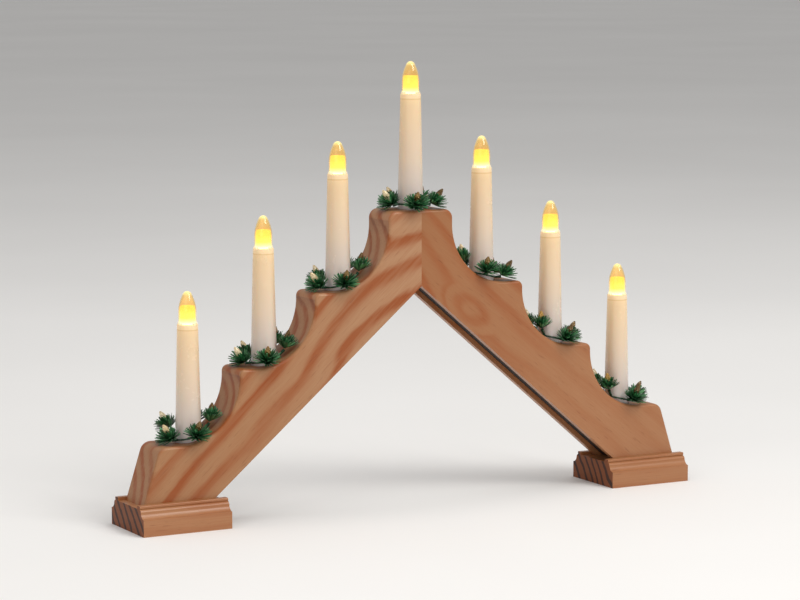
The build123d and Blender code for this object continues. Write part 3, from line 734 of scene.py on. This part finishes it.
def modelBud(finish):
    long, wide = wreath["budLength"], wreath["budWidth"]
    bpy.ops.object.select_all(action="DESELECT")
    bpy.ops.mesh.primitive_uv_sphere_add(segments=wreath["budSides"], ring_count=wreath["budRings"],
                                         radius=wide / 2, location=(0, 0, 0))
    bud = bpy.context.object
    setPlace(bud)
    bpy.ops.object.mode_set(mode="EDIT")
    bpy.ops.mesh.select_all(action="SELECT")
    bpy.ops.transform.resize(value=(1, 1, long / wide))
    bpy.ops.transform.translate(value=(0, 0, wreath["budBase"] + long / 2))
    bpy.ops.object.mode_set(mode="OBJECT")
    for level, pull in wreath["budLevels"]:
        selectVerts(bud, lambda co: co.z > wreath["budBase"] + level * long)
        bpy.ops.transform.resize(value=(pull, pull, 1), center_override=(0, 0, 0))
        bpy.ops.object.mode_set(mode="OBJECT")
    selectFaces(bud, isScale)
    bpy.ops.mesh.inset(use_individual=True, thickness=wide * wreath["scaleInset"],
                       depth=wide * wreath["scaleHeight"])
    bpy.ops.object.mode_set(mode="OBJECT")
    bud.data.materials.append(finish)
    pickOnly(bud)
    bpy.ops.object.shade_smooth_by_angle(angle=math.radians(35))
    return bud


def isWrap(polygon):  # a wrapping that winds round the wire
    return (polygon.index + polygon.index // wreath["ringSides"]) % wreath["wrapEvery"] == 0


def modelRing(finish):
    thick = wreath["ringWire"]
    bpy.ops.object.select_all(action="DESELECT")
    bpy.ops.mesh.primitive_torus_add(major_segments=wreath["ringSteps"], minor_segments=wreath["ringSides"],
                                     major_radius=wreath["ringRadius"],
                                     minor_radius=thick * wreath["ringThin"],
                                     location=(0, 0, wreath["ringHeight"]))
    ring = bpy.context.object
    setPlace(ring)
    selectFaces(ring, isWrap)
    bpy.ops.mesh.inset(use_individual=False, thickness=thick * wreath["wrapInset"],
                       depth=thick * wreath["wrapHeight"])
    bpy.ops.object.mode_set(mode="OBJECT")
    ring.data.materials.append(finish)
    pickOnly(ring)
    bpy.ops.object.shade_smooth_by_angle(angle=math.radians(40))
    return ring


def modelTwig(finish, start, end):
    run = end - start
    bpy.ops.object.select_all(action="DESELECT")
    bpy.ops.mesh.primitive_cylinder_add(vertices=wreath["twigSides"], radius=wreath["twig"],
                                        depth=run.length, location=(0, 0, run.length / 2))
    twig = bpy.context.object
    setPlace(twig)
    selectFaces(twig, lambda polygon: polygon.normal.z > 0.9)
    bpy.ops.transform.resize(value=(wreath["twigFlare"], wreath["twigFlare"], 1))
    bpy.ops.object.mode_set(mode="OBJECT")
    twig.matrix_world = Matrix.Translation(start) @ run.to_track_quat("Z", "Y").to_matrix().to_4x4()
    setPlace(twig)
    twig.data.materials.append(finish)
    return twig


def woodHeight(number, run):
    slide = 0.0 if number == peak else max(0.0, wreath["scoopStart"] + run)
    return wreath["scoopRadius"] - math.sqrt(wreath["scoopRadius"] ** 2 - slide**2)


def tuftPlace(number, step, turn, uphill):
    turned = Matrix.Rotation(math.radians(turn), 4, "Z")
    reach = wreath["ringRadius"] + wreath["reach"]
    beside = -reach * math.cos(math.radians(turn)) + wreath["woodAhead"]
    height = woodHeight(number, beside) + wreath["lift"] + wreath["slopeLift"] * uphill
    height += draw.random() * wreath["liftWander"] + wreath["raised"].get((number, step), 0.0)
    elevation = wreath["elevation"] + wreath["slopeElevation"] * uphill
    elevation += draw.uniform(-1, 1) * wreath["wander"]
    lean = Matrix.Rotation(math.radians(90 - elevation), 4, "Y")
    return Matrix.Translation(turned @ Vector((reach, 0, height))) @ turned @ lean


def modelTuft(needle, bud, spread, paintedBudShine):
    pieces = []
    wander = wreath["turnWander"]
    for count, share, longer in wreath["whorls"]:
        start = draw.uniform(0, 360)
        for index in range(count):
            turn = math.radians(start + 360 * (index + draw.uniform(-wander, wander)) / count)
            lean = math.radians(spread * share - draw.uniform(0, wreath["leanWander"]))
            place = Matrix.Rotation(turn, 4, "Z") @ Matrix.Rotation(lean, 4, "Y")
            shy = 1 - wreath["shy"] * share * max(0.0, -math.cos(turn))
            size = shy * longer * draw.uniform(*wreath["lengthWander"])
            strand = copyOf(needle, place @ Matrix.Scale(size, 4))
            tone = draw.random() ** wreath["toneCurve"]
            paint(strand, "needleToneAndBudShine", [tone] * len(strand.data.vertices))
            pieces.append(strand)
    heart = copyOf(bud, Matrix.Identity(4))
    paint(heart, "needleToneAndBudShine", [paintedBudShine] * len(heart.data.vertices))
    pieces.append(heart)
    return joinAll(pieces, "tuft")


def modelWreath(number, facing, ring, twigFinish, needle, bud):
    height = wreath["peakRingHeight"] if number == peak else wreath["ringHeight"]
    centre = Vector((0, 0, height))
    tilt = Matrix.Rotation(math.radians(0.0 if number == peak else wreath["tilt"]), 4, "Y")
    level = Matrix.Translation(centre) @ tilt @ Matrix.Translation(-centre)
    pieces = [copyOf(ring, level @ Matrix.Translation((0, 0, height - wreath["ringHeight"])))]
    for step in range(wreath["tufts"]):
        turn = wreath["firstTurn"][number] + 360 * step / wreath["tufts"]
        uphill = 0.0 if number == peak else max(0.0, -math.cos(math.radians(turn)))
        place = tuftPlace(number, step, turn, uphill)
        # painted highlight: buds that face one side of the wreath are painted bright, the rest painted
        # darker
        paintedShine = 0.5 + 0.5 * math.cos(math.radians(turn + facing - wreath["paintedShineTurn"]))
        tuft = modelTuft(needle, bud, wreath["spread"] - wreath["slopeSpread"] * uphill, paintedShine**2)
        tuft.matrix_world = place
        setPlace(tuft)
        root = Matrix.Rotation(math.radians(turn), 4, "Z") @ Vector((wreath["ringRadius"], 0, height))
        pieces.append(tuft)
        pieces.append(modelTwig(twigFinish, level @ root, place.translation))
    return joinAll(pieces, "wreath")


needleFinish = makeNeedleFinish()
budFinish = makeBudFinish()
ringFinish = makeRingFinish()
needleMaster = modelNeedle(needleFinish)
budMaster = modelBud(budFinish)
ringMaster = modelRing(ringFinish)
for number in candles:
    seat = seatOf(number)
    facing = 180.0 if number < peak else 0.0
    greens = modelWreath(number, facing, ringMaster, ringFinish, needleMaster, budMaster)
    greens.matrix_world = Matrix.Translation(seat) @ Matrix.Rotation(math.radians(facing), 4, "Z")
    setPlace(greens)
    greens.name = "wreathGreens_%d" % number
    greens.data.name = greens.name
    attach(greens, "wreath_body_%d" % number)
    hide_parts("wreath_%d" % number)
    print("wreath", number, "has", len(greens.data.polygons), "faces")
for master in (needleMaster, budMaster, ringMaster):
    bpy.data.objects.remove(master)

# studio: pale floor, soft lights, and the photograph's camera
studio = {
    "floorSize": 40.0,
    "floorMottle": {"scale": 1.5, "light": (0.9, 0.895, 0.885), "shade": (0.86, 0.855, 0.845),
                    "rough": (0.75, 0.9)},
    "sky": (0.88, 0.87, 0.86, 1),
    "skyStrength": 0.5,
    "cameraPlace": (-0.93024, -1.70757, 0.37902),
    "cameraTarget": (-0.0077, 0.0, 0.13291),
    "lens": 136.33,
    "sensor": 36.0,
    "lightTarget": (0, 0, 0.12),
    "lights": {
        "keyLight": {"place": (0.85, -1.7, 2.0), "size": 1.3, "power": 33.0, "tint": (1.0, 0.97, 0.93)},
        "fillLight": {"place": (-1.9, -1.5, 1.0), "size": 1.8, "power": 8.0, "tint": (1.0, 0.9, 0.8)},
        "topLight": {"place": (0.0, -0.3, 2.4), "size": 2.0, "power": 20.0, "tint": (1.0, 1.0, 1.0)},
    },
}
bpy.ops.object.select_all(action="DESELECT")
bpy.ops.mesh.primitive_plane_add(size=studio["floorSize"], location=(0, 0, 0))
floor = bpy.context.object
floor.name = "studioFloor"
floorFinish, floorTree, floorShader = newFinish("floorPaper")
floorMottle = mottled(floorTree, studio["floorMottle"])
floorTree.links.new(floorMottle["Color"], floorShader.inputs["Base Color"])
floorTree.links.new(floorMottle["Roughness"], floorShader.inputs["Roughness"])
floor.data.materials.append(floorFinish)

sky = bpy.data.worlds.new("studioSky")
sky.use_nodes = True
sky.node_tree.nodes["Background"].inputs["Color"].default_value = studio["sky"]
sky.node_tree.nodes["Background"].inputs["Strength"].default_value = studio["skyStrength"]
bpy.context.scene.world = sky


def aim(place, target):
    return (Vector(target) - Vector(place)).to_track_quat("-Z", "Y").to_euler()


for lightName, light in studio["lights"].items():
    bpy.ops.object.light_add(type="AREA", location=light["place"],
                             rotation=aim(light["place"], studio["lightTarget"]))
    softBox = bpy.context.object
    softBox.name = lightName
    softBox.data.size = light["size"]
    softBox.data.energy = light["power"]
    softBox.data.color = light["tint"]

bpy.ops.object.camera_add(location=studio["cameraPlace"],
                          rotation=aim(studio["cameraPlace"], studio["cameraTarget"]))
camera = bpy.context.object
camera.name = "photoCamera"
camera.data.sensor_fit = "HORIZONTAL"
camera.data.sensor_width = studio["sensor"]
camera.data.lens = studio["lens"]
camera.data.dof.use_dof = False
bpy.context.scene.camera = camera
bpy.context.scene.view_settings.view_transform = "Standard"
print("studio and camera set")
